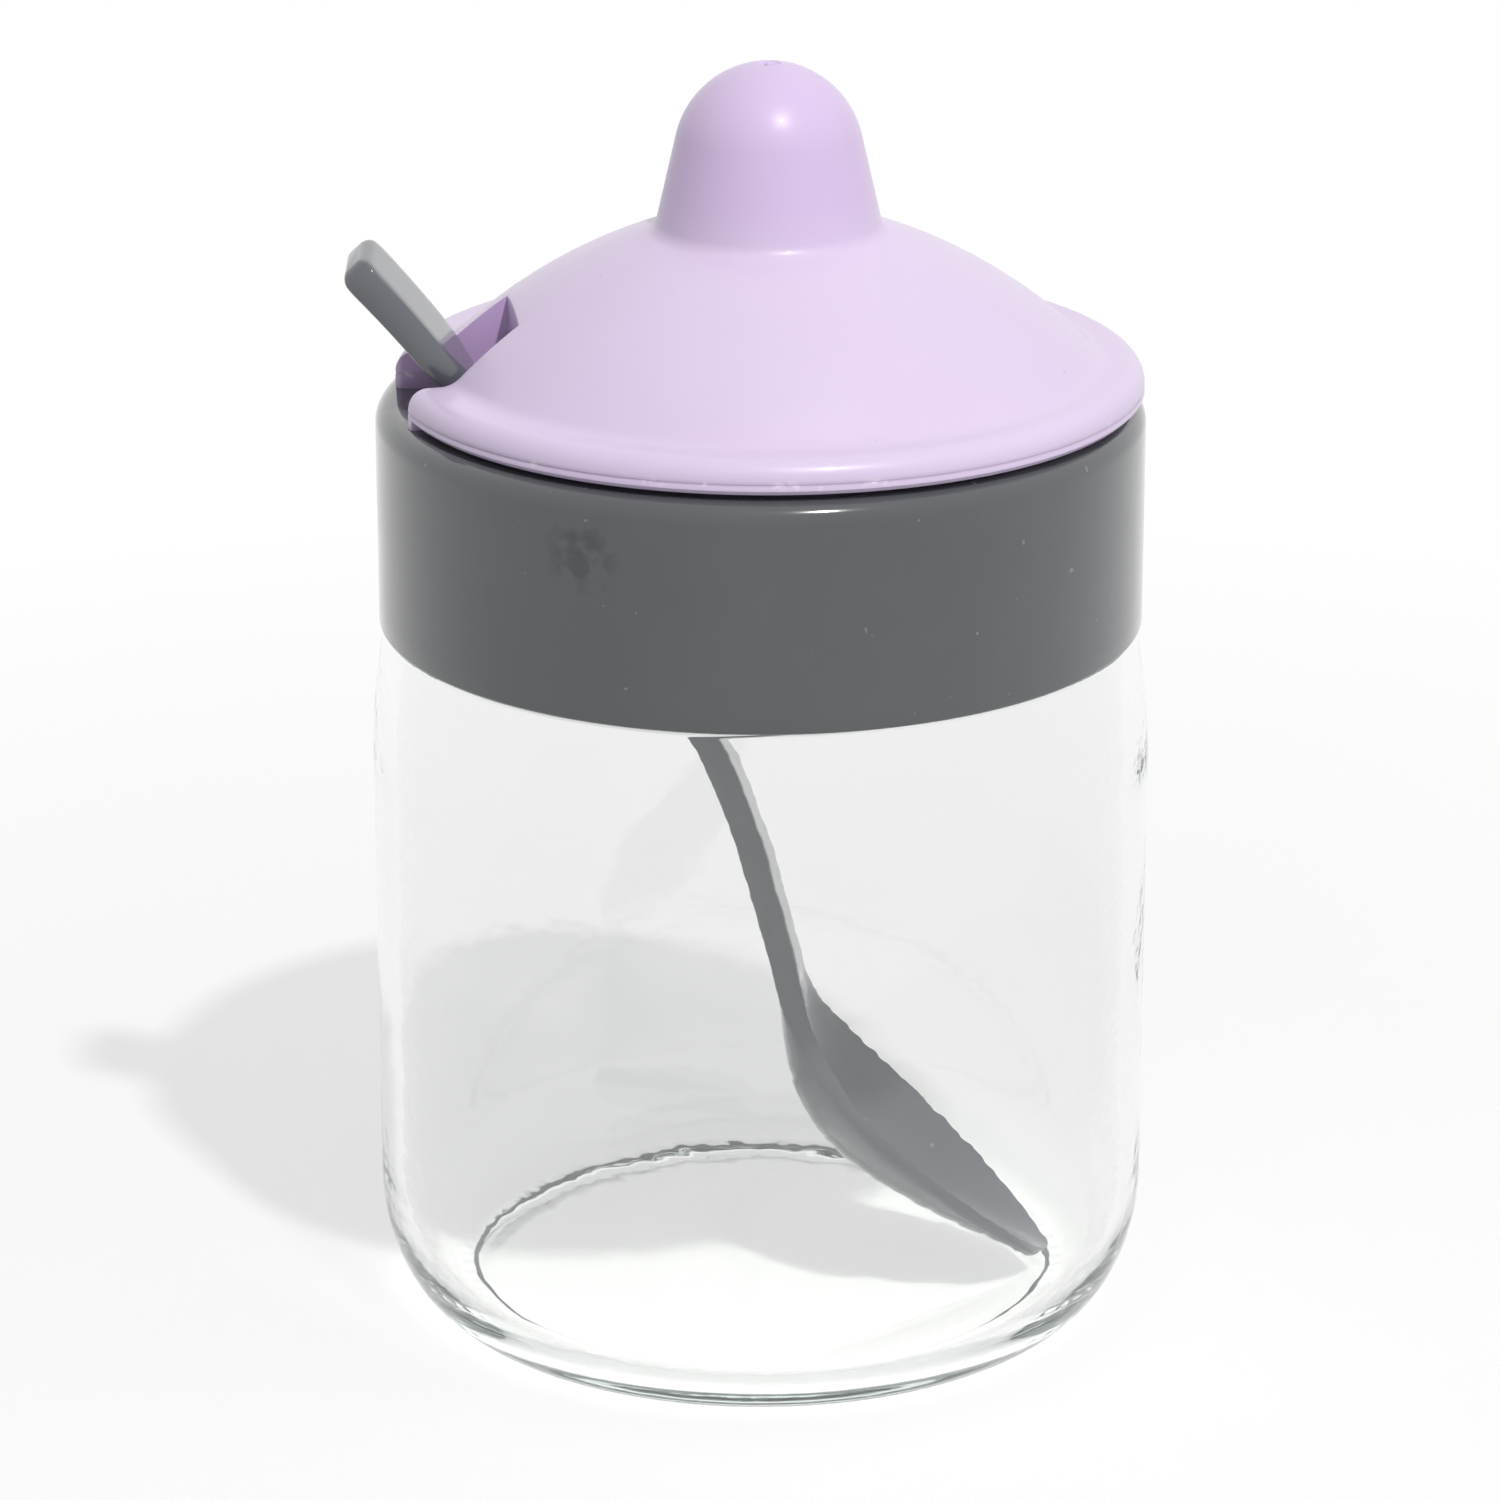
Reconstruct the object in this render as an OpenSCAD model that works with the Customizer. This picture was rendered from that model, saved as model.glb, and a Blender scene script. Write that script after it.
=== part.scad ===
// Jam pot: a clear glass jar, a plastic collar that turns on its neck, a lift-off lid with a notch
// for the spoon, and the spoon. Millimetres, +Z up. The origin is on the jar's axis, at the plane
// that the jar stands on, and the notch points along -X.

/* [Jar] */
// Widest outer diameter of the glass
jar_d = 86; // [76:1:110]
// Height of the glass from the table to the rim
jar_h = 102.8; // [90:0.1:140]
// Thickness of the glass wall
jar_wall = 2.6; // [1.8:0.1:3.6]
// Thickness of the glass floor
jar_floor = 3.4; // [3:0.1:6]
// Width of the bottom corner's outer curve
heel_w = 8.8; // [6:0.1:14]
// Height of the bottom corner's outer curve
heel_h = 15; // [10:0.5:20]
// Width of the bottom corner's inner curve
heel_in_w = 7; // [5:0.1:10]
// Height of the bottom corner's inner curve
heel_in_h = 11; // [8:0.5:14]
// Width of the ring that the jar stands on
stand_w = 1.8; // [1.2:0.1:4]
// Height of the hollow under the floor
punt_h = 0.9; // [0.4:0.1:1.4]
// Slope of the hollow's edge, as its width
punt_edge = 2.2; // [1:0.1:4]
// How far the wall draws in below the collar
draw_in = 1.5; // [0.5:0.1:2.2]
// Height over which the wall draws in
draw_h = 16; // [8:0.5:30]
// Radius of the shoulder's outer corner
shoulder_r = 2; // [0.8:0.1:2.4]
// Height of the shoulder's inner curve
shoulder_in_h = 6; // [4:0.5:12]
// Thickness of the glass at the neck
neck_wall = 3; // [2:0.1:4]
// Rounding of the rim
rim_r = 1.2; // [0.5:0.1:1.4]

/* [Collar] */
// How far the collar's side lies inside the widest glass
collar_inset = 1; // [0.5:0.1:2]
// Height of the collar
collar_h = 25; // [16:0.5:34]
// Thickness of the collar's side
collar_wall = 2.2; // [1.6:0.1:3]
// Thickness of the collar's top
collar_top_t = 2; // [1.4:0.1:3]
// Width of the collar's top, from its side to the mouth
collar_top_w = 8.6; // [7:0.1:12]
// Rounding of the collar's top outer edge
collar_edge_r = 2.4; // [1:0.1:3]
// Rounding of the mouth's edge
mouth_edge_r = 0.6; // [0.3:0.1:0.8]
// Room for the thread between the collar and the neck
thread_gap = 1.3; // [1:0.1:1.8]
// Room between the collar's lower edge and the shoulder
skirt_gap = 0.5; // [0.3:0.1:1.5]

/* [Lid] */
// How far the flange's edge lies inside the collar's side
flange_inset = 1.1; // [0.5:0.1:2.5]
// Thickness of the flange
flange_t = 4.2; // [3.6:0.1:6]
// Rounding of the flange's upper edge
flange_edge_r = 2.3; // [1:0.1:2.4]
// Bevel of the flange's lower edge
flange_bevel = 0.5; // [0.2:0.1:0.6]
// Gap under the flange's rim, which stands clear of the collar
rim_gap = 0.6; // [0.3:0.1:0.7]
// Width of that rim
rim_w = 4.5; // [2:0.1:5]
// Depth of the seam round the flange's edge
seam_d = 0.3; // [0.1:0.05:0.5]
// Height of the seam
seam_h = 0.4; // [0.2:0.1:0.6]
// Width of the flange, from its edge to the foot of the dome
flange_w = 4.9; // [4:0.1:8]
// Radius of the dome's curve in section
dome_curve_r = 60; // [48:1:120]
// Height of the dome at the knob
dome_h = 14.2; // [11:0.1:17]
// Radius at which the dome has that height
dome_top_r = 13; // [12:0.1:16]
// Radius of the hollow between the dome and the flange
dome_fillet_r = 3; // [1:0.1:5]
// Height of the lid from the flange's top to the knob's top
lid_h = 32.6; // [28:0.1:42]
// Radius of the knob's round top
knob_r = 10.3; // [8.5:0.1:11.4]
// Slope of the knob's side from upright
knob_draft = 13; // [8:0.5:15]
// Radius of the hollow round the knob's foot
knob_fillet_r = 2; // [1:0.1:3]
// Thickness of the dome and the knob
lid_wall = 1.8; // [1.2:0.1:2.4]
// Depth of the ring that holds the lid in the collar's mouth
plug_h = 6; // [4:0.5:9]
// Thickness of that ring
plug_wall = 1.6; // [1.2:0.1:2]
// Play of that ring in the mouth
lid_play = 1.2; // [0.6:0.1:1.6]
// Least room between pieces that move
run_gap = 0.3; // [0.2:0.05:0.4]
// Room beside the spoon's handle at the notch's inner end
notch_side_gap = 0.7; // [0.6:0.1:2]
// Room behind the spoon's handle at the notch's inner end
notch_back_gap = 1.6; // [1.4:0.1:4]
// Spread of each side of the notch
notch_flare = 7; // [0:0.5:12]
// Thickness of the notch's walls
notch_wall = 1.5; // [1:0.1:2]
// Rounding of the notch's outer corners
notch_corner_r = 1.8; // [0.5:0.1:2.4]

/* [Spoon] */
// Width of the handle at its end
handle_w = 11; // [8:0.5:12]
// Thickness of the handle at its end
handle_t = 3.8; // [2.6:0.1:4.4]
// Thickness of the handle at the collar's mouth
lean_t = 3.2; // [2.6:0.1:4]
// Length of the handle above the collar's mouth
handle_out = 20.1; // [14:0.1:40]
// Rounding of the handle's end in thickness
handle_end_r = 1.3; // [0.5:0.1:2]
// Width of the neck
neck_w = 7; // [5:0.5:9]
// Thickness of the neck
neck_t = 3; // [2.2:0.1:4]
// Length of the bowl, from the neck to the toe
bowl_l = 45; // [36:0.5:50]
// Width of the bowl
bowl_w = 20; // [14:0.5:26]
// Depth of the bowl
bowl_deep = 6.4; // [4:0.1:8]
// Thickness of the bowl
bowl_t = 1.7; // [1.2:0.1:2.4]
// Place of the bowl's widest point, as a share of its length
bowl_mid = 0.52; // [0.4:0.01:0.6]
// Distance of the toe from the jar's inner wall
toe_gap = 9.5; // [6:0.5:12]
// Height of the toe over the glass floor
toe_lift = 1; // [0.4:0.1:2]
// Slope of the handle at its end
end_slope = 47; // [40:1:54]
// Slope of the handle at the collar's mouth
lean_slope = 55; // [52:1:62]
// Slope of the neck
neck_slope = 78; // [66:1:82]
// Slope of a straight line from the neck to the toe
bowl_slope = 50.5; // [46:0.5:56]
// Slope of the bowl's rim at the toe
toe_slope = 46; // [42:1:52]
// Turn of the spoon about its handle
spoon_roll = 3; // [0:0.5:5]
// Sideways lean of the spoon from the plane through the notch
spoon_tilt = 4.5; // [0:0.5:5]
// Room between the handle and the mouth's edge
lean_gap = 0.35; // [0.3:0.05:1]

/* [Hidden] */
$fn = 96;

jar_r = jar_d / 2;
jar_in_r = jar_r - jar_wall;
collar_r = jar_r - collar_inset;
collar_in_r = collar_r - collar_wall;
collar_top_z = jar_h + collar_top_t;
collar_z = collar_top_z - collar_h;
mouth_r = collar_r - collar_top_w;
neck_r = collar_in_r - thread_gap;
neck_in_r = neck_r - neck_wall;
shoulder_z = collar_z - skirt_gap;

flange_r = collar_r - flange_inset;
flange_z = collar_top_z + flange_t;
seam_z = flange_z - flange_edge_r - seam_h / 2;
dome_foot_r = flange_r - flange_w;
plug_r = mouth_r - lid_play;
plug_in_r = plug_r - plug_wall;
plug_z = collar_top_z - plug_h;
// The loose lid lies against one side of its play, away from the notch
lid_shift = lid_play - run_gap;

// The handle leans on the mouth's edge at both sides of its width
lean_r = sqrt(mouth_r * mouth_r - handle_w * handle_w / 4);
handle_back_x = -lean_r + (lean_gap + lean_t) / sin(lean_slope);
notch_x = handle_back_x + notch_back_gap - lid_shift;
notch_half = handle_w / 2 + notch_side_gap;

// Steps of a rounded corner, of the dome's curve and of each stretch of the spoon
CORNER_STEPS = 8;
DOME_STEPS = 24;
HANDLE_STEPS = 12;
SHANK_STEPS = 14;
BOWL_STEPS = 24;
// Points across half of the spoon's width
HALF_POINTS = 6;
// Share of the notch's corner rounding that lies inside the flange's edge, so that the two curves cross
CORNER_SHARE = 0.5;
// Margin by which a cut passes the face that it leaves through
CUT = 1;

function ease(t) = t * t * (3 - 2 * t);
function mix(a, b, t) = a + (b - a) * t;
function polar(r, a) = r * [cos(a), sin(a)];
function angle_of(v) = atan2(v[1], v[0]);
function arc(c, r, from, to, steps) = [for (i = [0:steps]) c + polar(r, mix(from, to, i / steps))];
function oval(c, w, h, from, to, steps) =
    [for (i = [0:steps]) let (a = mix(from, to, i / steps)) c + [w * cos(a), h * sin(a)]];

// Point where a ray from p along d first meets the circle round c
function ray_on_circle(p, d, c, r) =
    let (q = p - c, b = q * d)
    p + d * (-b - sqrt(b * b - q * q + r * r));

// Jar: one closed outline of the glass, turned about the axis
function wall_outer() =
    [for (i = [0:CORNER_STEPS]) let (t = i / CORNER_STEPS)
        [jar_r - draw_in * t * t, shoulder_z - shoulder_r - draw_h * (1 - t)]];
function wall_inner() =
    [for (i = [CORNER_STEPS:-1:0]) let (t = i / CORNER_STEPS)
        [mix(jar_in_r, neck_in_r, ease(t)), shoulder_z + jar_wall - shoulder_in_h * (1 - t)]];

module glass_jar() {
    heel_c = [jar_r - heel_w, heel_h];
    heel_in_c = [jar_in_r - heel_in_w, jar_floor + heel_in_h];
    shoulder_c = [jar_r - draw_in - shoulder_r, shoulder_z - shoulder_r];
    stand_in_r = jar_r - heel_w - stand_w;
    color([0.86, 0.93, 0.91, 0.35])
    rotate_extrude()
    polygon(concat(
        [[0, punt_h], [stand_in_r - punt_edge, punt_h], [stand_in_r, 0]],
        oval(heel_c, heel_w, heel_h, -90, 0, CORNER_STEPS),
        wall_outer(),
        arc(shoulder_c, shoulder_r, 0, 90, CORNER_STEPS),
        [[neck_r, shoulder_z]],
        arc([neck_r - rim_r, jar_h - rim_r], rim_r, 0, 90, CORNER_STEPS),
        arc([neck_in_r + rim_r, jar_h - rim_r], rim_r, 90, 180, CORNER_STEPS),
        wall_inner(),
        oval(heel_in_c, heel_in_w, heel_in_h, 0, -90, CORNER_STEPS),
        [[0, jar_floor]]));
}

// Collar: a side that covers the neck and a flat top that rests on the rim, open at the mouth
module screw_collar() {
    edge_c = [collar_r - collar_edge_r, collar_top_z - collar_edge_r];
    mouth_c = [mouth_r + mouth_edge_r, collar_top_z - mouth_edge_r];
    color([0.29, 0.3, 0.31])
    rotate_extrude()
    polygon(concat(
        [[collar_in_r, collar_z], [collar_r, collar_z]],
        arc(edge_c, collar_edge_r, 0, 90, CORNER_STEPS),
        arc(mouth_c, mouth_edge_r, 90, 180, CORNER_STEPS),
        [[mouth_r, jar_h], [collar_in_r, jar_h]]));
}

// Lid: sections of the outside and of the hollow, both turned about the lid's own axis
foot = [dome_foot_r, flange_z];
crown = [dome_top_r, flange_z + dome_h];
chord = crown - foot;
chord_out = [chord[1], -chord[0]] / norm(chord);
dome_c = (foot + crown) / 2 - chord_out * sqrt(dome_curve_r * dome_curve_r - chord * chord / 4);
knob_c = [0, flange_z + lid_h - knob_r];
knob_out = polar(1, knob_draft);
knob_down = [sin(knob_draft), -cos(knob_draft)];

function lid_outside() =
    let (
        flat_z = flange_z + dome_fillet_r,
        hollow_r = dome_curve_r + dome_fillet_r,
        hollow_x = dome_c[0] + sqrt(hollow_r * hollow_r - pow(flat_z - dome_c[1], 2)),
        hollow_c = [hollow_x, flat_z],
        knob_start = knob_c + knob_out * (knob_r + knob_fillet_r),
        neck_c = ray_on_circle(knob_start, knob_down, dome_c, dome_curve_r + knob_fillet_r)
    )
    concat(
        [[0, plug_z], [plug_r, plug_z], [plug_r, collar_top_z], [flange_r, collar_top_z]],
        [[flange_r, seam_z - seam_h / 2], [flange_r - seam_d, seam_z]],
        arc([flange_r - flange_edge_r, flange_z - flange_edge_r], flange_edge_r, 0, 90, CORNER_STEPS),
        arc(hollow_c, dome_fillet_r, -90, angle_of(dome_c - hollow_c), CORNER_STEPS),
        arc(dome_c, dome_curve_r, angle_of(hollow_c - dome_c), angle_of(neck_c - dome_c), DOME_STEPS),
        arc(neck_c, knob_fillet_r, angle_of(dome_c - neck_c), -180 + knob_draft, CORNER_STEPS),
        arc(knob_c, knob_r, knob_draft, 90, DOME_STEPS));

function lid_hollow() =
    let (
        inner_r = dome_curve_r - lid_wall,
        foot_z = dome_c[1] + sqrt(inner_r * inner_r - pow(plug_in_r - dome_c[0], 2)),
        knob_start = knob_c + knob_out * (knob_r - lid_wall),
        corner = ray_on_circle(knob_start, knob_down, dome_c, inner_r)
    )
    concat(
        [[0, collar_top_z], [plug_in_r, collar_top_z]],
        arc(dome_c, inner_r, angle_of([plug_in_r, foot_z] - dome_c), angle_of(corner - dome_c), DOME_STEPS),
        arc(knob_c, knob_r - lid_wall, knob_draft, 90, DOME_STEPS));

// Notch: seen from above, its sides spread outwards from the inner end
function notch_half_at(x) = notch_half + (notch_x - x) * tan(notch_flare);

module notch_plan(wall) {
    end_x = notch_x + wall;
    out_x = -flange_r - CUT;
    spread = wall / cos(notch_flare);
    polygon([
        [end_x, -notch_half_at(end_x) - spread], [end_x, notch_half_at(end_x) + spread],
        [out_x, notch_half_at(out_x) + spread], [out_x, -notch_half_at(out_x) - spread]]);
}

// What is cut away to round one corner between the notch's side and the flange's edge
module notch_corner() {
    side_out = [sin(notch_flare), cos(notch_flare)];
    side_in = [cos(notch_flare), -sin(notch_flare)];
    start = [notch_x, notch_half] + side_out * notch_corner_r;
    reach = flange_r - CORNER_SHARE * notch_corner_r;
    along = start * side_in;
    round_c = start - side_in * (along + sqrt(along * along - start * start + reach * reach));
    in_notch = round_c - side_out * (notch_corner_r + CUT);
    past_edge = round_c * (flange_r + CUT) / reach;
    difference() {
        polygon([round_c, in_notch, in_notch - side_in * (notch_corner_r + 2 * CUT), past_edge]);
        translate(round_c)
        circle(notch_corner_r);
    }
}

// The gap under the flange's rim, with a bevel at the edge
function rim_relief() =
    let (rim_z = collar_top_z + rim_gap, bevel = flange_bevel)
    [[flange_r - rim_w, collar_top_z - CUT], [flange_r + bevel, collar_top_z - CUT],
        [flange_r + bevel, rim_z + 2 * bevel], [flange_r - bevel, rim_z], [flange_r - rim_w, rim_z]];

module lid() {
    color([0.86, 0.79, 0.91])
    translate([lid_shift, 0, 0])
    difference() {
        rotate_extrude()
        polygon(lid_outside());
        translate([0, 0, plug_z - CUT])
        cylinder(r = plug_in_r, h = plug_h + CUT);
        difference() {
            union() {
                rotate_extrude()
                polygon(lid_hollow());
                rotate_extrude()
                polygon(rim_relief());
            }
            linear_extrude(height = flange_z + lid_h)
            notch_plan(notch_wall);
        }
        linear_extrude(height = flange_z + lid_h) {
            notch_plan(0);
            notch_corner();
            mirror([0, 1])
            notch_corner();
        }
    }
}

// Spoon: its middle line lies in the XZ plane, as points [x, z], from the handle's end to the toe
lean_off = lean_gap + lean_t / 2;
lean_p = [-lean_r + lean_off * sin(lean_slope), collar_top_z + lean_off * cos(lean_slope)];
toe_x = jar_in_r - toe_gap;
toe_rise = max(0, toe_x - (jar_in_r - heel_in_w)) / heel_in_w;
toe_floor = jar_floor + heel_in_h * (1 - sqrt(1 - toe_rise * toe_rise));
toe_p = [toe_x, toe_floor + toe_lift + bowl_t / 2];
neck_p = toe_p + bowl_l * [-cos(bowl_slope), sin(bowl_slope)];

function down(slope) = [cos(slope), -sin(slope)];
function bezier(p, t) =
    let (u = 1 - t)
    u * u * u * p[0] + 3 * u * u * t * p[1] + 3 * u * t * t * p[2] + t * t * t * p[3];
function bezier_slope(p, t) =
    let (u = 1 - t, d = u * u * (p[1] - p[0]) + 2 * u * t * (p[2] - p[1]) + t * t * (p[3] - p[2]))
    -angle_of(d);

// The handle above the mouth bends as an arc of a circle, s millimetres from its end
handle_bend_r = handle_out / ((lean_slope - end_slope) * PI / 180);
handle_bend_c = lean_p - handle_bend_r * [sin(lean_slope), cos(lean_slope)];
function handle_slope(s) = mix(end_slope, lean_slope, s / handle_out);
function handle_point(s) =
    let (a = handle_slope(s))
    handle_bend_c + handle_bend_r * [sin(a), cos(a)];

shank_l = norm(neck_p - lean_p);
shank = [lean_p, lean_p + down(lean_slope) * shank_l / 3, neck_p - down(neck_slope) * shank_l / 3, neck_p];
bowl = [neck_p, neck_p + down(neck_slope) * bowl_l / 4, toe_p - down(toe_slope) * bowl_l / 2, toe_p];

// Width, depth and thickness of the bowl at a share of its length
function bowl_past(t) = (t - bowl_mid) / (1 - bowl_mid);
function bowl_width(t) =
    t < bowl_mid ? mix(neck_w, bowl_w, ease(t / bowl_mid)) : bowl_w * sqrt(1 - pow(bowl_past(t), 2));
function bowl_depth(t) =
    t < bowl_mid ? bowl_deep * ease(t / bowl_mid) : bowl_deep * (1 - pow(bowl_past(t), 2));
function bowl_thick(t) = mix(neck_t, bowl_t, ease(min(1, t / bowl_mid)));

// Each station is [point, slope, width, thickness, depth]
function handle_end(s, r) = s < r ? sqrt(1 - pow(1 - s / r, 2)) : 1;
function handle_stations() =
    [for (i = [1:HANDLE_STEPS]) let (s = handle_out * pow(i / HANDLE_STEPS, 2))
        [handle_point(s), handle_slope(s), handle_w * handle_end(s, handle_w / 2),
            mix(handle_t, lean_t, s / handle_out) * handle_end(s, handle_end_r), 0]];
function shank_stations() =
    [for (i = [1:SHANK_STEPS]) let (t = i / SHANK_STEPS)
        [bezier(shank, t), bezier_slope(shank, t), mix(handle_w, neck_w, ease(t)), mix(lean_t, neck_t, t), 0]];
function bowl_stations() =
    [for (i = [1:BOWL_STEPS]) let (t = 1 - pow(1 - (i - 0.4) / BOWL_STEPS, 2))
        [bezier(bowl, t), bezier_slope(bowl, t), bowl_width(t), bowl_thick(t), bowl_depth(t)]];

// A section is a strip with rounded edges, dished by its depth, and turned by the roll
EDGE_POWER = 6;
function edge_share(u) = pow(max(0, 1 - pow(abs(u), EDGE_POWER)), 1 / EDGE_POWER);
function strip(side) =
    [for (i = [0:2 * HALF_POINTS - 1]) let (u = -side * cos(90 * i / HALF_POINTS)) [u, side * edge_share(u)]];
function section_point(st, q) =
    let (
        y = q[0] * st[2] / 2,
        h = q[1] * st[3] / 2 - st[4] * (1 - q[0] * q[0]),
        across = y * cos(spoon_roll) - h * sin(spoon_roll),
        up = y * sin(spoon_roll) + h * cos(spoon_roll)
    )
    [st[0][0] + up * sin(st[1]), across, st[0][1] + up * cos(st[1])];

module spoon() {
    stations = concat(handle_stations(), shank_stations(), bowl_stations());
    ring = concat(strip(1), strip(-1));
    n = len(ring);
    last = len(stations) - 1;
    points = [for (st = stations) for (q = ring) section_point(st, q)];
    sides = [for (i = [0:last - 1]) for (j = [0:n - 1])
        let (a = i * n + j, b = i * n + (j + 1) % n)
        each [[a, b, b + n], [a, b + n, a + n]]];
    first_cap = [for (j = [n - 1:-1:0]) j];
    last_cap = [for (j = [0:n - 1]) last * n + j];
    color([0.34, 0.35, 0.36])
    translate([0, 0, lean_p[1]])
    rotate([-spoon_tilt, 0, 0])
    translate([0, 0, -lean_p[1]])
    polyhedron(points, concat([first_cap, last_cap], sides), convexity = 8);
}

glass_jar();
screw_collar();
lid();
spoon();
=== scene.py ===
"""Jam pot: a clear glass jar, a grey collar on its neck, a lilac lid with a notch, and the spoon that stands in it."""

from math import acos, atan2, cos, degrees, exp, hypot, pi, radians, sin, sqrt, tan

import bmesh
import bpy
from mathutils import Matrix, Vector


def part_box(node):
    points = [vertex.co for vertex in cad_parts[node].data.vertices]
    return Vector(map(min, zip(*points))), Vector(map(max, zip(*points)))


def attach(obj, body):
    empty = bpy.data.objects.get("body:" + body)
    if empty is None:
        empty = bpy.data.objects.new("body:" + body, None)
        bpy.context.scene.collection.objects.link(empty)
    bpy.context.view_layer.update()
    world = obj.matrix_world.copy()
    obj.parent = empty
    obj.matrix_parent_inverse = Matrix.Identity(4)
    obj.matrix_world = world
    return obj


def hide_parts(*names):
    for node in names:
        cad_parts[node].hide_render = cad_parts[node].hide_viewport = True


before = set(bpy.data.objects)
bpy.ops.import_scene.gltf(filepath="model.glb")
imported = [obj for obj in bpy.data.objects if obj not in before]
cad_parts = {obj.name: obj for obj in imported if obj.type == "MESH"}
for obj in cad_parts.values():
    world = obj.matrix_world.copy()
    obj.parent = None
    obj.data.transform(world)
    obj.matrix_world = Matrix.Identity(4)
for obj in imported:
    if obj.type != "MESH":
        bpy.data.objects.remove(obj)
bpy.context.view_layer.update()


# Jar: one piece of clear, faintly green blown glass with a thick heel, a hollow under the floor and a wide neck.
# Short grip marks stand round the ring that it rests on, and four sloping lugs on the neck hold the collar.
MM = 0.001
jar_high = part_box("glass_jar")[1]
jar_r = jar_high.x / MM
jar_h = jar_high.z / MM
collar_low, collar_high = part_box("screw_collar")
collar_r = collar_high.x / MM
collar_z = collar_low.z / MM
collar_top_z = collar_high.z / MM

jar_wall = 2.6
jar_in_r = jar_r - jar_wall
jar_floor = 3.4
heel_w = 8.8
heel_h = 15.0
heel_in_w = 7.0
heel_in_h = 11.0
stand_w = 1.0
stand_in_r = jar_r - heel_w - stand_w
punt_h = 0.65
punt_edge_w = 0.8
punt_r = stand_in_r - punt_edge_w
draw_in = 1.5
draw_h = 16.0
shoulder_r = 0.5
shoulder_gap = 0.05
shoulder_z = collar_z - shoulder_gap
ledge_t = 0.35
ledge_z = shoulder_z - ledge_t
ledge_break = 0.4
neck_gap = 3.5
neck_r = collar_r - neck_gap
neck_wall = 2.3
neck_in_r = neck_r - neck_wall
rim_r = 1.2
grip_count = 72
grip_depth = 0.1
grip_low_r = 32.9
grip_high_r = 35.6
grip_soft = 1.6
grip_top_z = 2.0
lug_count = 4
lug_down = 9.0
lug_z = jar_h - lug_down
lug_rise = 3.2
lug_proud = 0.9
lug_half_h = 0.8
lug_half = radians(28)
lug_soft = 0.12
lug_clear = 0.1
# Each wave of the inner wall has a height, a count round the jar and a twist for each millimetre up
waves = ((0.04, 2, 0.09), (0.018, 5, -0.2), (0.006, 9, 0.5))
on_wall = 0.01
jar_columns = grip_count * 5
glass_tint = (0.95, 0.952, 0.95, 1)
glass_shade = (0.95, 0.953, 0.951, 1)
glass_depth = (0.78, 0.86, 0.82, 1)
glass_density = 15


def mix(a, b, t):
    return a + (b - a) * t


def ease(t):
    return t * t * (3 - 2 * t)


def window(x, low, high, soft):
    """1 between low and high, easing to 0 at both."""
    return ease(min(1, max(0, (x - low) / soft))) * ease(min(1, max(0, (high - x) / soft)))


def oval(x, z, w, h, start, end, steps):
    turns = [radians(mix(start, end, i / steps)) for i in range(steps + 1)]
    return [(x + w * cos(a), z + h * sin(a)) for a in turns]


def arc(x, z, r, start, end, steps):
    return oval(x, z, r, r, start, end, steps)


def line(x0, z0, x1, z1, steps):
    return [(mix(x0, x1, i / steps), mix(z0, z1, i / steps)) for i in range(steps + 1)]


def chain(name, points):
    """A mesh object open for editing, with one line of edges through the points, in millimetres."""
    bpy.ops.object.select_all(action="DESELECT")
    bpy.ops.mesh.primitive_plane_add(size=MM)
    piece = bpy.context.object
    piece.name = name
    piece.data.name = name
    bpy.ops.object.mode_set(mode="EDIT")
    bpy.ops.mesh.select_all(action="SELECT")
    bpy.ops.mesh.merge(type="CENTER")
    at = (0, 0, 0)
    for i, point in enumerate(points):
        step = [(point[k] - at[k]) * MM for k in range(3)]
        if i == 0:
            bpy.ops.transform.translate(value=step)
        elif hypot(*step) > 1e-7:
            bpy.ops.mesh.extrude_region_move(TRANSFORM_OT_translate={"value": step})
        at = point
    bpy.ops.mesh.select_all(action="SELECT")
    return piece


def lathe(name, outline, columns):
    """The outline, in millimetres as (radius, height), turned about Z into a closed body."""
    piece = chain(name, [(x, 0, z) for x, z in outline])
    bpy.ops.mesh.spin(steps=columns, angle=2 * pi, center=(0, 0, 0), axis=(0, 0, 1))
    bpy.ops.mesh.select_all(action="SELECT")
    bpy.ops.mesh.remove_doubles(threshold=0.002 * MM)
    bpy.ops.mesh.dissolve_degenerate(threshold=0.001 * MM)
    bpy.ops.mesh.select_all(action="SELECT")
    bpy.ops.mesh.normals_make_consistent(inside=False)
    bpy.ops.object.mode_set(mode="OBJECT")
    return piece


def smooth(piece, angle):
    bpy.ops.object.select_all(action="DESELECT")
    piece.select_set(True)
    bpy.context.view_layer.objects.active = piece
    bpy.ops.object.shade_smooth_by_angle(angle=radians(angle))


punt = [(punt_r * i / 6, punt_h) for i in range(7)]
punt_edge = [(mix(punt_r, stand_in_r, i / 6), punt_h * (1 - ease(i / 6))) for i in range(1, 7)]
heel = oval(jar_r - heel_w, heel_h, heel_w, heel_h, -90, 0, 30)
draw_z = shoulder_z - shoulder_r - draw_h
side = line(jar_r, heel_h, jar_r, draw_z, 12)
draw = [(jar_r - draw_in * (i / 12) ** 2, draw_z + draw_h * i / 12) for i in range(13)]
shoulder = arc(jar_r - draw_in - shoulder_r, shoulder_z - shoulder_r, shoulder_r, 0, 90, 8)
neck = line(neck_r, shoulder_z, neck_r, jar_h - rim_r, 44)
rim = arc(neck_r - rim_r, jar_h - rim_r, rim_r, 0, 90, 6)
rim += arc(neck_in_r + rim_r, jar_h - rim_r, rim_r, 90, 180, 6)
throat = line(neck_in_r, jar_h - rim_r, neck_in_r, ledge_z + ledge_break, 8)
ledge_r = jar_in_r - draw_in
inside = arc(ledge_r - shoulder_r, ledge_z - shoulder_r, shoulder_r, 90, 0, 6)
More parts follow.
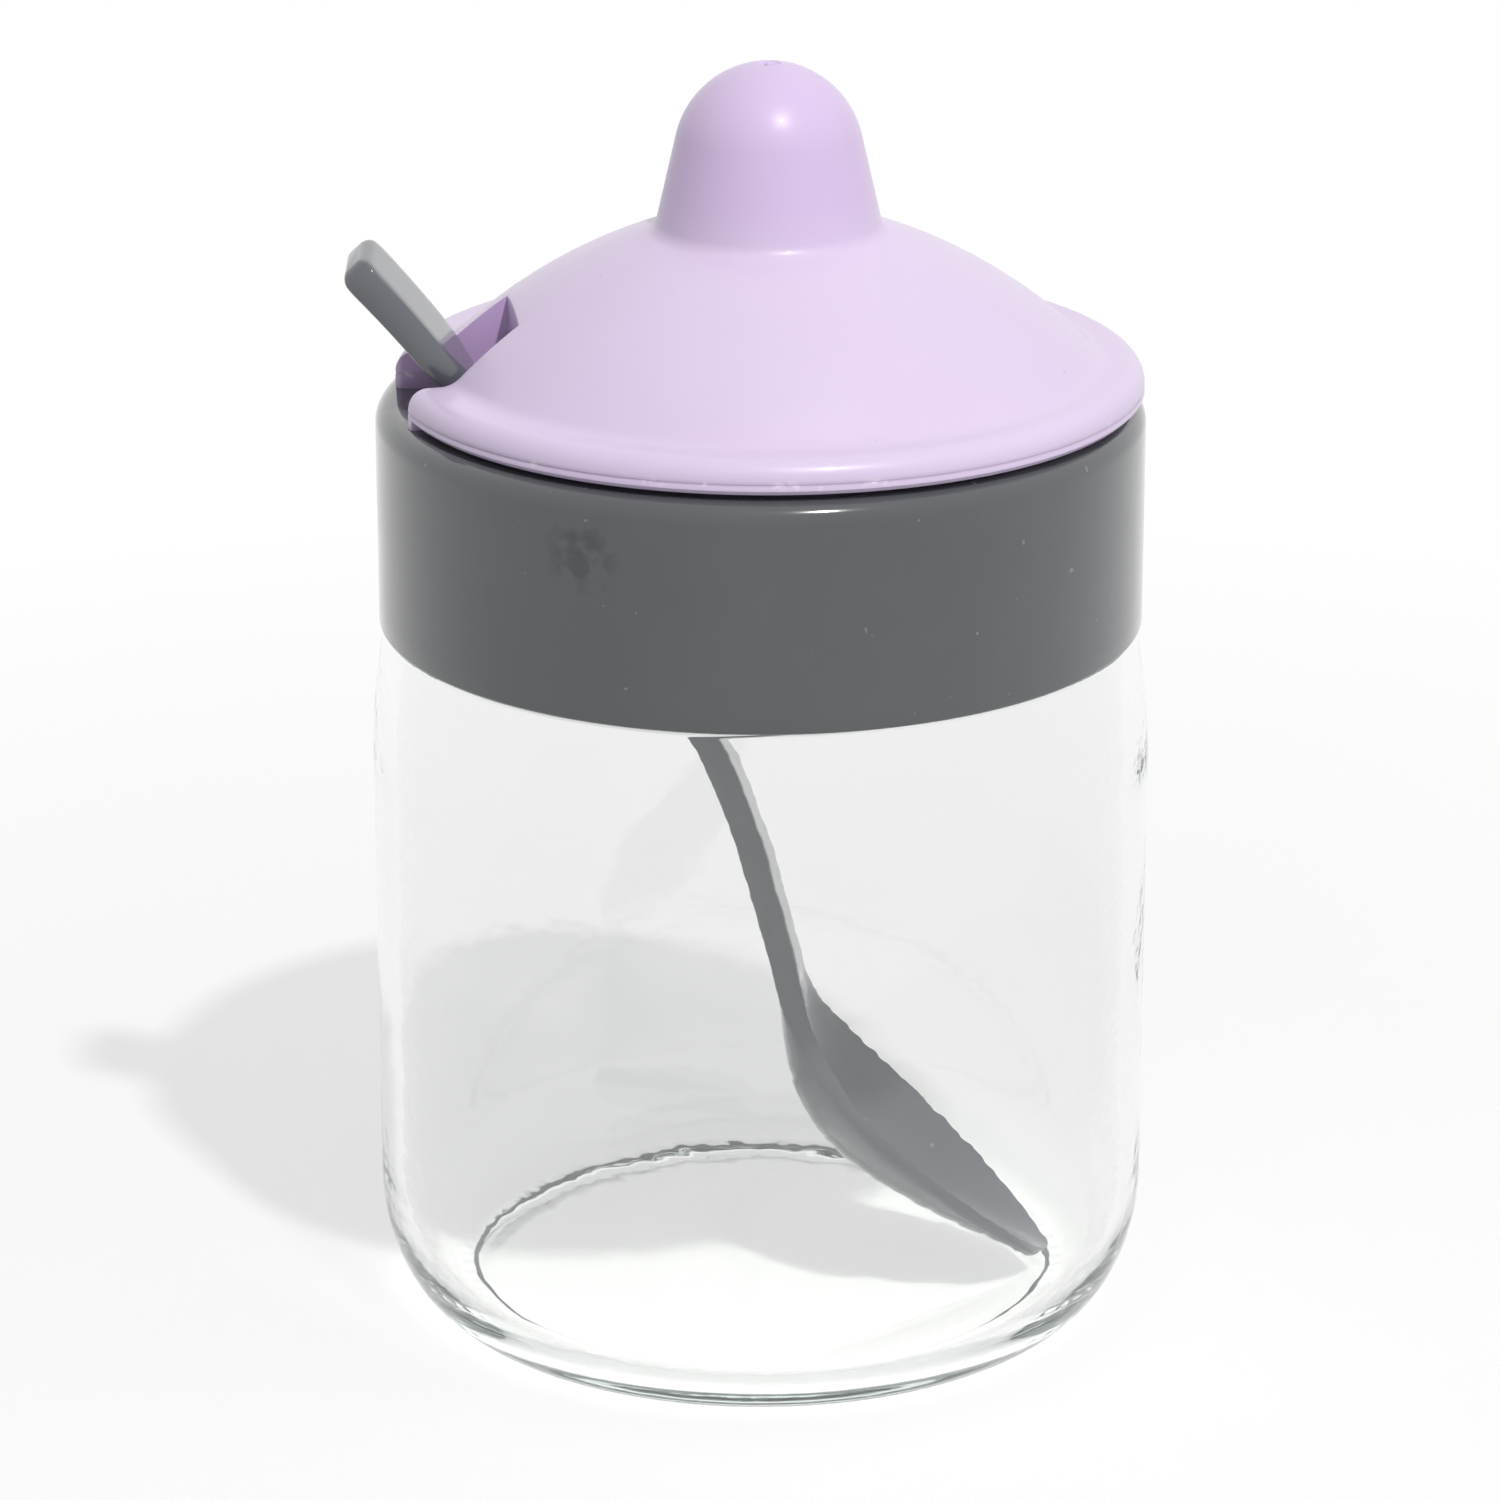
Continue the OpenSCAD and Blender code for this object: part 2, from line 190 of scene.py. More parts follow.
inside += [
    (jar_in_r - draw_in * (1 - i / 12) ** 2, mix(ledge_z - shoulder_r, draw_z, i / 12)) for i in range(1, 13)
]
inside += line(jar_in_r, draw_z, jar_in_r, jar_floor + heel_in_h, 14)
heel_in = oval(jar_in_r - heel_in_w, jar_floor + heel_in_h, heel_in_w, heel_in_h, 0, -90, 18)
floor_in = line(jar_in_r - heel_in_w, jar_floor, 0, jar_floor, 8)
jar = lathe(
    "jar_glass",
    punt + punt_edge + heel + side + draw + shoulder + neck + rim + throat + inside + heel_in + floor_in,
    jar_columns,
)

# The grip marks are hollows in the standing ring, the lugs are ridges on the neck, and the inside is a little uneven
for vertex in jar.data.vertices:
    x, y, z = (value / MM for value in vertex.co)
    r = hypot(x, y)
    turn = atan2(y, x)
    if z < grip_top_z and r > punt_r:
        hollow = 0.5 - 0.5 * cos(grip_count * turn)
        z += grip_depth * hollow * window(r, grip_low_r, grip_high_r, grip_soft)
    elif abs(r - neck_r) < on_wall and z > shoulder_z + lug_clear:
        for k in range(lug_count):
            off = (turn - 2 * pi * k / lug_count + pi) % (2 * pi) - pi
            height = lug_z + lug_rise * off / (2 * lug_half)
            ridge = exp(-(((z - height) / lug_half_h) ** 2))
            r += lug_proud * window(off, -lug_half, lug_half, lug_soft) * ridge
    elif abs(r - jar_in_r) < on_wall:
        r += sum(wave_h * sin(count * turn + twist * z) for wave_h, count, twist in waves)
    vertex.co = (r * cos(turn) * MM, r * sin(turn) * MM, z * MM)
smooth(jar, 40)


def nodes_of(name):
    """A new material with an empty node tree, its output and object coordinates."""
    material = bpy.data.materials.new(name)
    material.use_nodes = True
    tree = material.node_tree
    tree.nodes.clear()
    return material, tree, tree.nodes.new("ShaderNodeOutputMaterial"), tree.nodes.new("ShaderNodeTexCoord")


def noise(tree, place, scale, detail=2.0, rough=0.5):
    node = tree.nodes.new("ShaderNodeTexNoise")
    node.inputs["Scale"].default_value = scale
    node.inputs["Detail"].default_value = detail
    node.inputs["Roughness"].default_value = rough
    tree.links.new(place, node.inputs["Vector"])
    return node.outputs["Fac"]


def spread(tree, value, low, high, to_low, to_high):
    node = tree.nodes.new("ShaderNodeMapRange")
    for socket, number in zip(("From Min", "From Max", "To Min", "To Max"), (low, high, to_low, to_high)):
        node.inputs[socket].default_value = number
    tree.links.new(value, node.inputs["Value"])
    return node.outputs["Result"]


def bump(tree, height, strength, distance, under=None):
    node = tree.nodes.new("ShaderNodeBump")
    node.inputs["Strength"].default_value = strength
    node.inputs["Distance"].default_value = distance
    tree.links.new(height, node.inputs["Height"])
    if under is not None:
        tree.links.new(under, node.inputs["Normal"])
    return node.outputs["Normal"]


glass, tree, output, place = nodes_of("jar_clear_glass")
shader = tree.nodes.new("ShaderNodeBsdfPrincipled")
shader.inputs["Base Color"].default_value = glass_tint
shader.inputs["Transmission Weight"].default_value = 1
shader.inputs["IOR"].default_value = 1.5
smear = noise(tree, place.outputs["Object"], 45, 3, 0.6)
tree.links.new(spread(tree, smear, 0.5, 0.8, 0.0, 0.04), shader.inputs["Roughness"])
# Slow waves all over, and finer ripples that run round the jar
rings = tree.nodes.new("ShaderNodeMapping")
rings.inputs["Scale"].default_value = (0.55, 0.55, 1)
tree.links.new(place.outputs["Object"], rings.inputs["Vector"])
wave = bump(tree, noise(tree, place.outputs["Object"], 110, 1), 0.045, 0.0006)
ripple = bump(tree, noise(tree, rings.outputs["Vector"], 520, 1), 0.05, 0.0003, wave)
tree.links.new(ripple, shader.inputs["Normal"])
# Lamps shine through the glass on to what is inside, a little dimmed
through = tree.nodes.new("ShaderNodeBsdfTransparent")
through.inputs["Color"].default_value = glass_shade
blend = tree.nodes.new("ShaderNodeMixShader")
tree.links.new(tree.nodes.new("ShaderNodeLightPath").outputs["Is Shadow Ray"], blend.inputs["Fac"])
tree.links.new(shader.outputs["BSDF"], blend.inputs[1])
tree.links.new(through.outputs["BSDF"], blend.inputs[2])
tree.links.new(blend.outputs["Shader"], output.inputs["Surface"])
depth = tree.nodes.new("ShaderNodeVolumeAbsorption")
depth.inputs["Color"].default_value = glass_depth
depth.inputs["Density"].default_value = glass_density
tree.links.new(depth.outputs["Volume"], output.inputs["Volume"])
jar.data.materials.append(glass)
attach(jar, "jar")
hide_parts("glass_jar")


# Collar: one dark grey plastic moulding that turns on the neck. Its top lies on the glass rim and is open at the mouth,
# and its side covers the neck down to the shoulder. The moulding is glossy with finger marks and a little dust.
collar_wall = 2.2
collar_in_r = collar_r - collar_wall
collar_edge_r = 2.4
collar_top_t = 2.0
under_z = collar_top_z - collar_top_t
under_corner = 0.3
collar_lip_w = 8.6
mouth_r = collar_r - collar_lip_w
mouth_edge_r = 0.6
skirt_edge_r = 0.45
skirt_bevel = 0.25
collar_columns = 240
smudge_at = (-23.7, -34.6, 98.1)
smudge_in_r = 2.2
smudge_out_r = 4.6
collar_pale = (0.088, 0.094, 0.101)
collar_deep = (0.075, 0.08, 0.087)
collar_dust = (0.25, 0.25, 0.25)
collar_damp = (0.035, 0.036, 0.039)

collar_side = arc(collar_r - skirt_edge_r, collar_z + skirt_edge_r, skirt_edge_r, -90, 0, 4)
collar_side += line(collar_r, collar_z + skirt_edge_r, collar_r, collar_top_z - collar_edge_r, 10)
collar_edge = arc(collar_r - collar_edge_r, collar_top_z - collar_edge_r, collar_edge_r, 0, 90, 12)
collar_top = line(collar_r - collar_edge_r, collar_top_z, mouth_r + mouth_edge_r, collar_top_z, 4)
mouth = arc(mouth_r + mouth_edge_r, collar_top_z - mouth_edge_r, mouth_edge_r, 90, 180, 6)
under = line(mouth_r, under_z, collar_in_r - under_corner, under_z, 4)
collar_in = line(collar_in_r, under_z - under_corner, collar_in_r, collar_z + skirt_bevel, 10)
skirt = [(collar_in_r + skirt_bevel, collar_z), (collar_r - skirt_edge_r, collar_z)]
collar_outline = collar_side + collar_edge + collar_top + mouth + under + collar_in + skirt
collar = lathe("collar_ring", collar_outline, collar_columns)
smooth(collar, 40)


def blended(tree, factor, under, over):
    """A colour mixed over another by a factor, each a socket or a plain colour."""
    node = tree.nodes.new("ShaderNodeMix")
    node.data_type = "RGBA"
    tree.links.new(factor, node.inputs["Factor"])
    for socket, colour in (("A", under), ("B", over)):
        if isinstance(colour, tuple):
            node.inputs[socket].default_value = (*colour, 1)
        else:
            tree.links.new(colour, node.inputs[socket])
    return node.outputs["Result"]


def maths(tree, operation, *terms):
    """One sum on its terms, each a socket or a plain number."""
    node = tree.nodes.new("ShaderNodeMath")
    node.operation = operation
    for socket, term in zip(node.inputs, terms):
        if isinstance(term, (int, float)):
            socket.default_value = term
        else:
            tree.links.new(term, socket)
    return node.outputs["Value"]


def plastic(name, pale, deep, shine, worn, dust, specks, coat):
    """Moulded plastic: a slow drift between two close colours, uneven gloss, a faint skin and a few specks."""
    material, tree, output, place = nodes_of(name)
    place = place.outputs["Object"]
    shader = tree.nodes.new("ShaderNodeBsdfPrincipled")
    shader.inputs["IOR"].default_value = 1.5
    shader.inputs["Coat Weight"].default_value = coat
    shader.inputs["Coat Roughness"].default_value = 0.03
    drift = blended(tree, spread(tree, noise(tree, place, 38, 3, 0.6), 0.3, 0.7, 0.0, 1.0), deep, pale)
    dots = spread(tree, noise(tree, place, 900, 1), 0.77, 0.8, 0.0, specks)
    tree.links.new(blended(tree, dots, drift, dust), shader.inputs["Base Color"])
    gloss = spread(tree, noise(tree, place, 75, 4, 0.65), 0.3, 0.75, shine, worn)
    tree.links.new(gloss, shader.inputs["Roughness"])
    skin = bump(tree, noise(tree, place, 170, 2), 0.05, 0.0004)
    tree.links.new(bump(tree, noise(tree, place, 1500, 1), 0.02, 0.0001, skin), shader.inputs["Normal"])
    tree.links.new(shader.outputs["BSDF"], output.inputs["Surface"])
    return material, tree, shader, place


material, tree, shader, place = plastic(
    "collar_plastic", collar_pale, collar_deep, shine=0.1, worn=0.2, dust=collar_dust, specks=0.6, coat=0.5
)
# A damp smudge on the side darkens the plastic
smudge = tree.nodes.new("ShaderNodeVectorMath")
smudge.operation = "DISTANCE"
smudge.inputs[1].default_value = [value * MM for value in smudge_at]
tree.links.new(place, smudge.inputs[0])
near = spread(tree, smudge.outputs["Value"], smudge_in_r * MM, smudge_out_r * MM, 1.0, 0.0)
drops = spread(tree, noise(tree, place, 420, 2), 0.42, 0.56, 0.0, 0.8)
plain = shader.inputs["Base Color"].links[0].from_socket
tree.links.new(
    blended(tree, maths(tree, "MULTIPLY", near, drops), plain, collar_damp), shader.inputs["Base Color"]
)
collar.data.materials.append(material)
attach(collar, "collar")
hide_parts("screw_collar")


# Spoon: one dark grey plastic moulding that leans in the collar's mouth, with a flat handle that bends out through the
# notch, a narrow neck and a dished bowl whose toe stands near the jar's floor. Handle and bowl are turned a little
# toward the front.
handle_w = 11.0
handle_t = 3.8
lean_t = 3.2
handle_out = 20.1
handle_corner_r = 2.6
handle_end_r = 1.3
neck_w = 7.0
neck_t = 3.0
bowl_l = 45.0
bowl_w = 20.0
bowl_deep = 6.4
bowl_t = 1.7
bowl_mid = 0.52
end_slope = radians(47)
lean_slope = radians(55)
neck_slope = radians(78)
bowl_slope = radians(50.5)
toe_slope = radians(46)
roll = radians(3)
bowl_turn = radians(10)
end_turn = radians(7)
turn_up = 6.0
turn_down = 10.0
tilt = radians(4.5)
lean_gap = 0.35
toe_gap = 9.5
toe_lift = 1.0
shank_pull = 0.42
edge_power = 10
edge_steps = 20
handle_steps = 26
shank_steps = 24
bowl_steps = 40
bowl_short = 0.2
spoon_pale = (0.124, 0.134, 0.149)
spoon_deep = (0.106, 0.115, 0.129)
spoon_dust = (0.3, 0.3, 0.3)

lean_r = sqrt(mouth_r**2 - handle_w**2 / 4)
lean_off = lean_gap + lean_t / 2
lean = (-lean_r + lean_off * sin(lean_slope), collar_top_z + lean_off * cos(lean_slope))
toe_x = jar_in_r - toe_gap
toe_z = jar_floor + toe_lift + bowl_t / 2
neck_at = (toe_x - bowl_l * cos(bowl_slope), toe_z + bowl_l * sin(bowl_slope))


def beside(point, slope, length):
    return (point[0] + cos(slope) * length, point[1] - sin(slope) * length)


def bezier(p, t):
    """A point [x, z] on the curve and the slope there."""
    u = 1 - t
    at = [u**3 * a + 3 * u * u * t * b + 3 * u * t * t * c + t**3 * d for a, b, c, d in zip(*p)]
    dx, dz = [u * u * (b - a) + 2 * u * t * (c - b) + t * t * (d - c) for a, b, c, d in zip(*p)]
    return at, -atan2(dz, dx)


bend_r = handle_out / (lean_slope - end_slope)
bend_c = (lean[0] - bend_r * sin(lean_slope), lean[1] - bend_r * cos(lean_slope))
shank_l = hypot(neck_at[0] - lean[0], neck_at[1] - lean[1])
pull = shank_pull * shank_l
shank = (lean, beside(lean, lean_slope, pull), beside(neck_at, neck_slope, -pull), neck_at)
bowl_end = (toe_x, toe_z)
bowl = (neck_at, beside(neck_at, neck_slope, bowl_l / 4), beside(bowl_end, toe_slope, -bowl_l / 2), bowl_end)

# Each station is a point, a slope, a width, a thickness and a depth, from the handle's end to the toe
stations = []
for i in range(1, handle_steps + 1):
    s = handle_out * (i / handle_steps) ** 2
    a = mix(end_slope, lean_slope, s / handle_out)
    ends = [1 - sqrt(1 - (1 - min(1, s / r)) ** 2) for r in (handle_corner_r, handle_end_r)]
    at = (bend_c[0] + bend_r * sin(a), bend_c[1] + bend_r * cos(a))
    wide = handle_w - 2 * handle_corner_r * ends[0]
    thick = mix(handle_t, lean_t, s / handle_out) - 2 * handle_end_r * ends[1]
    stations.append((at, a, wide, thick, 0))
for i in range(1, shank_steps + 1):
    t = i / shank_steps
    stations.append((*bezier(shank, t), mix(handle_w, neck_w, ease(t)), mix(lean_t, neck_t, t), 0))
for i in range(1, bowl_steps + 1):
    t = 1 - (1 - (i - bowl_short) / bowl_steps) ** 2
    past = max(0, (t - bowl_mid) / (1 - bowl_mid))
    grow = ease(min(1, t / bowl_mid))
    wide = mix(neck_w, bowl_w, grow) * sqrt(1 - past**2)
    stations.append((*bezier(bowl, t), wide, mix(neck_t, bowl_t, grow), bowl_deep * grow * (1 - past**2)))

# A section is a strip with rounded edges, dished by its depth and turned by the roll, and the whole leans sideways
half = [-cos(pi * i / edge_steps) for i in range(edge_steps)]
strip = [(u, (1 - abs(u) ** edge_power) ** (1 / edge_power)) for u in half]
strip += [(-u, -(1 - abs(u) ** edge_power) ** (1 / edge_power)) for u in half]


def section(station):
    at, slope, wide, thick, depth = station
    turn_z = lean[1] - turn_down
    low_down = ease(min(1, max(0, (turn_z - at[1]) / (turn_z - neck_at[1]))))
    high_up = ease(min(1, max(0, (at[1] - lean[1]) / turn_up)))
    turn = roll + bowl_turn * low_down + end_turn * high_up
    ring = []
    for u, v in strip:
        y = u * wide / 2
        h = v * thick / 2 - depth * (1 - u * u)
        across = y * cos(turn) - h * sin(turn)
        up = y * sin(turn) + h * cos(turn)
        over = at[1] + up * cos(slope) - lean[1]
        lean_y = across * cos(tilt) + over * sin(tilt)
        lean_z = lean[1] - across * sin(tilt) + over * cos(tilt)
        ring.append(((at[0] + up * sin(slope)) * MM, lean_y * MM, lean_z * MM))
    return ring


bpy.ops.object.select_all(action="DESELECT")
bpy.ops.mesh.primitive_circle_add(vertices=len(strip), radius=handle_w / 2 * MM)
spoon = bpy.context.object
spoon.name = "spoon_body"
spoon.data.name = "spoon_body"
for vertex, point in zip(spoon.data.vertices, section(stations[0])):
    vertex.co = point
bpy.ops.object.mode_set(mode="EDIT")
bpy.ops.mesh.select_all(action="SELECT")
bpy.ops.mesh.edge_face_add()
bpy.ops.mesh.select_mode(type="EDGE")
bpy.ops.mesh.select_all(action="SELECT")
for k, station in enumerate(stations[1:]):
    if k == 0:
        bpy.ops.mesh.extrude_edges_move()
    else:
        bpy.ops.mesh.extrude_region_move()
    shape = bmesh.from_edit_mesh(spoon.data)
    shape.verts.index_update()
    ring = section(station)
    for vertex in shape.verts:
        if vertex.select:
            old = min(edge.other_vert(vertex).index for edge in vertex.link_edges)
            vertex.co = ring[old % len(strip)]
    bmesh.update_edit_mesh(spoon.data)
bpy.ops.mesh.edge_face_add()
bpy.ops.mesh.select_all(action="SELECT")
bpy.ops.mesh.normals_make_consistent(inside=False)
bpy.ops.mesh.select_mode(type="VERT")
bpy.ops.object.mode_set(mode="OBJECT")
smooth(spoon, 50)
material = plastic(
    "spoon_plastic", spoon_pale, spoon_deep, shine=0.1, worn=0.2, dust=spoon_dust, specks=0.6, coat=0.5
)[0]
spoon.data.materials.append(material)
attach(spoon, "spoon")
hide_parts("spoon")


# Lid: one lilac plastic moulding that lies loose on the collar, with a hollow dome and knob, a flange with a seam round
# its edge, a ring underneath that sits in the mouth, and a walled notch for the handle, whose edges are softly broken.
# The knob and the notch's walls are painted a deeper lilac than the rest, as painted shade.
lid_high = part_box("lid")[1]
flange_r = lid_high.y / MM
lid_x = lid_high.x / MM - flange_r
lid_top_z = lid_high.z / MM
flange_t = 4.2
flange_z = collar_top_z + flange_t
flange_edge_r = 2.3
flange_bevel = 0.5
rim_gap = 0.6
rim_w = 4.5
seam_d = 0.1
seam_h = 0.4
seam_z = flange_z - flange_edge_r - seam_h / 2
dome_r = 60.0
dome_fillet_r = 3.0
foot_w = 4.9
crown_r = 13.0
crown_h = 14.2
knob_r = 10.3
knob_draft = radians(13)
knob_fillet_r = 2.0
gate_r = 1.3
# The gate mark's rings: a radius, and a height over the edge of the mark
gate_rings = ((1.15, -0.1), (0.9, -0.22), (0.5, -0.25), (0.4, 0), (0.25, 0.08), (0, 0.08))
lid_wall = 1.8
plug_gap = 1.2
plug_r = mouth_r - plug_gap
plug_wall = 1.6
plug_in_r = plug_r - plug_wall
plug_h = 6.0
plug_z = collar_top_z - plug_h
notch_gap = 1.6
notch_x = -lean_r + (lean_gap + lean_t) / sin(lean_slope) + notch_gap - lid_x
notch_side_gap = 0.7
notch_half = handle_w / 2 + notch_side_gap
notch_flare = radians(7)
notch_wall = 1.5
notch_corner_r = 1.8
notch_edge_r = 0.3
on_notch = 0.02
ring_gap = 0.75
clear = 2.0
lid_columns = 108
# Heights over the flange across which the knob's painted shade fades in
knob_shade_from = 13.0
knob_shade_to = 19.0
wall_skin = 0.03
wall_fade = 0.1
lid_pale = (0.71, 0.595, 0.8)
lid_deep = (0.69, 0.575, 0.78)
lid_dust = (0.45, 0.36, 0.5)
# The next two lilacs are painted shade, on the knob and on the notch's walls
knob_shade_lilac = (0.672, 0.525, 0.78)
notch_shade_lilac = (0.6, 0.42, 0.72)
# The next lilac is painted shade, for a thin line along the seam
seam_shade_lilac = (0.42, 0.29, 0.47)
shred_lilac = (0.86, 0.77, 0.9)

foot = (flange_r - foot_w, flange_z)
crown = (crown_r, flange_z + crown_h)
chord = (crown[0] - foot[0], crown[1] - foot[1])
chord_l = hypot(*chord)
rise = sqrt(dome_r**2 - chord_l**2 / 4)
dome_x = (foot[0] + crown[0]) / 2 - chord[1] / chord_l * rise
dome_z = (foot[1] + crown[1]) / 2 + chord[0] / chord_l * rise
knob_z = lid_top_z - knob_r


def on_dome(side_r, r):
    """Where the knob's side, at that radius of its round top, comes within reach r of the dome's centre."""
    x = side_r * cos(knob_draft)
    z = knob_z + side_r * sin(knob_draft)
    dx, dz = sin(knob_draft), -cos(knob_draft)
    along = (x - dome_x) * dx + (z - dome_z) * dz
    far = (x - dome_x) ** 2 + (z - dome_z) ** 2
    step = -along - sqrt(along**2 - far + r * r)
    return x + dx * step, z + dz * step


def dome_turn(x, z):
    return degrees(atan2(z - dome_z, x - dome_x))


fillet_z = flange_z + dome_fillet_r
fillet_x = dome_x + sqrt((dome_r + dome_fillet_r) ** 2 - (fillet_z - dome_z) ** 2)
neck_x, neck_z = on_dome(knob_r + knob_fillet_r, dome_r + knob_fillet_r)
dome_low = dome_turn(fillet_x, fillet_z)
dome_high = dome_turn(neck_x, neck_z)
# Two rings keep clear of the notch's inner end, so that its edge can be broken
end_r = hypot(notch_x, notch_half)
ring_out = degrees(acos((end_r + ring_gap - dome_x) / dome_r))
ring_in = degrees(acos((-notch_x - ring_gap - dome_x) / dome_r))
outside = [(0, plug_z), (plug_r, plug_z), (plug_r, collar_top_z), (flange_r, collar_top_z)]
outside += [(flange_r, seam_z - seam_h / 2), (flange_r - seam_d, seam_z)]
outside += arc(flange_r - flange_edge_r, flange_z - flange_edge_r, flange_edge_r, 0, 90, 12)
outside += arc(fillet_x, fillet_z, dome_fillet_r, -90, dome_low - 180, 8)
outside += arc(dome_x, dome_z, dome_r, dome_low, ring_out, 5)
outside += arc(dome_x, dome_z, dome_r, ring_in, dome_high, 12)
outside += arc(neck_x, neck_z, knob_fillet_r, dome_high - 180, degrees(knob_draft) - 180, 8)
gate_z = knob_z + sqrt(knob_r**2 - gate_r**2)
outside += arc(0, knob_z, knob_r, degrees(knob_draft), degrees(acos(gate_r / knob_r)), 24)
outside += [(x, gate_z + up) for x, up in gate_rings]
lid = lathe("lid_shell", outside, lid_columns)

in_r = dome_r - lid_wall
corner_x, corner_z = on_dome(knob_r - lid_wall, in_r)
foot_z = dome_z + sqrt(in_r**2 - (plug_in_r - dome_x) ** 2)
hollow_outline = [(0, plug_z - clear), (plug_in_r, plug_z - clear)]
hollow_outline += arc(dome_x, dome_z, in_r, dome_turn(plug_in_r, foot_z), dome_turn(corner_x, corner_z), 16)
hollow_outline += arc(0, knob_z, knob_r - lid_wall, degrees(knob_draft), 90, 16)
hollow = lathe("lid_hollow", hollow_outline, lid_columns)
rim_z = collar_top_z + rim_gap
relief = lathe(
    "lid_relief",
    [
        (flange_r - rim_w, collar_top_z - clear),
        (flange_r + flange_bevel, collar_top_z - clear),
        (flange_r + flange_bevel, rim_z + 2 * flange_bevel),
        (flange_r - flange_bevel, rim_z),
        (flange_r - rim_w, rim_z),
        (flange_r - rim_w, collar_top_z - clear),
    ],
    lid_columns,
)


def prism(name, plan, bottom, top):
    """A plan, in millimetres, drawn up between two heights."""
    piece = chain(name, [(x, y, bottom) for x, y in plan + plan[:1]])
    bpy.ops.mesh.remove_doubles(threshold=0.002 * MM)
    bpy.ops.mesh.select_all(action="SELECT")
    bpy.ops.mesh.edge_face_add()
    bpy.ops.mesh.extrude_region_move(TRANSFORM_OT_translate={"value": (0, 0, (top - bottom) * MM)})
    bpy.ops.mesh.select_all(action="SELECT")
    bpy.ops.mesh.normals_make_consistent(inside=False)
    bpy.ops.object.mode_set(mode="OBJECT")
    return piece


def cut(piece, cutter):
    """The cutter's body taken out of the piece."""
    bpy.ops.object.select_all(action="DESELECT")
    bpy.context.view_layer.objects.active = piece
    piece.select_set(True)
    change = piece.modifiers.new("cut", "BOOLEAN")
    change.operation = "DIFFERENCE"
    change.solver = "EXACT"
    change.object = cutter
    bpy.ops.object.modifier_apply(modifier=change.name)
    bpy.data.objects.remove(cutter)


def half_at(x):
    return notch_half + (notch_x - x) * tan(notch_flare)


wall_x = notch_x + notch_wall
wall_spread = notch_wall / cos(notch_flare)
out_x = -flange_r - clear
wall_plan = [
    (wall_x, -half_at(wall_x) - wall_spread),
    (wall_x, half_at(wall_x) + wall_spread),
    (out_x, half_at(out_x) + wall_spread),
    (out_x, -half_at(out_x) - wall_spread),
]
cut(hollow, prism("lid_walls", wall_plan, collar_top_z, lid_top_z + clear))
cut(relief, prism("lid_walls", wall_plan, collar_top_z - 2 * clear, lid_top_z + clear))
cut(lid, hollow)
cut(lid, relief)

# The notch's outer corners are rounded in plan, by circles that cross the flange's edge
side_out = (sin(notch_flare), cos(notch_flare))
side_in = (cos(notch_flare), -sin(notch_flare))
start = (notch_x + side_out[0] * notch_corner_r, notch_half + side_out[1] * notch_corner_r)
reach = flange_r - notch_corner_r / 2
along = start[0] * side_in[0] + start[1] * side_in[1]
step = along + sqrt(along**2 - start[0] ** 2 - start[1] ** 2 + reach**2)
round_x, round_y = start[0] - side_in[0] * step, start[1] - side_in[1] * step
round_start = degrees(atan2(-side_out[1], -side_out[0])) % 360
round_end = degrees(atan2(round_y, round_x)) % 360
corner = arc(round_x, round_y, notch_corner_r, round_start, round_end, 10)
corner.append(((flange_r + clear) * round_x / reach, (flange_r + clear) * round_y / reach))
notch_plan = [(notch_x, notch_half)] + corner
notch_plan += [(x, -y) for x, y in reversed(notch_plan)]
cut(lid, prism("lid_notch", notch_plan, plug_z - clear, lid_top_z + clear))

# The notch's upper edges are broken by a small round
bpy.ops.object.mode_set(mode="EDIT")
bpy.ops.mesh.select_all(action="SELECT")
bpy.ops.mesh.remove_doubles(threshold=0.01 * MM)
bpy.ops.mesh.select_mode(type="EDGE")
bpy.ops.mesh.select_all(action="DESELECT")
shape = bmesh.from_edit_mesh(lid.data)


def in_notch(point):
    """True for a point on the notch's walls."""
    x, y = point.x / MM, abs(point.y) / MM
    on_end = abs(x - notch_x) < on_notch and y < notch_half + on_notch
    on_side = abs(y - half_at(x)) < on_notch and x < notch_x + on_notch
    on_round = abs(hypot(x - round_x, y - round_y) - notch_corner_r) < on_notch
    return on_end or on_side or (on_round and x < notch_x - 2)


for edge in shape.edges:
    ends = [vertex.co for vertex in edge.verts]
    broken = len(edge.link_faces) == 2 and edge.calc_face_angle(0) > radians(35)
    high_up = min(point.z for point in ends) > (flange_z - flange_edge_r - 0.05) * MM
    upright = hypot(*(ends[0] - ends[1]).xy) < 1e-6
    edge.select = broken and high_up and not upright and all(in_notch(point) for point in ends)
bmesh.update_edit_mesh(lid.data)
bpy.ops.mesh.bevel(offset=notch_edge_r * MM, segments=3, profile=0.5, affect="EDGES", clamp_overlap=True)
bpy.ops.mesh.select_all(action="SELECT")
bpy.ops.transform.translate(value=(lid_x * MM, 0, 0))
bpy.ops.mesh.select_mode(type="VERT")
bpy.ops.object.mode_set(mode="OBJECT")
smooth(lid, 32)
material, tree, shader, place = plastic(
    "lid_plastic", lid_pale, lid_deep, shine=0.3, worn=0.4, dust=lid_dust, specks=0.3, coat=0.25
)
shader.inputs["Specular IOR Level"].default_value = 0.3
axes = tree.nodes.new("ShaderNodeSeparateXYZ")
tree.links.new(place, axes.inputs["Vector"])
plain = shader.inputs["Base Color"].links[0].from_socket
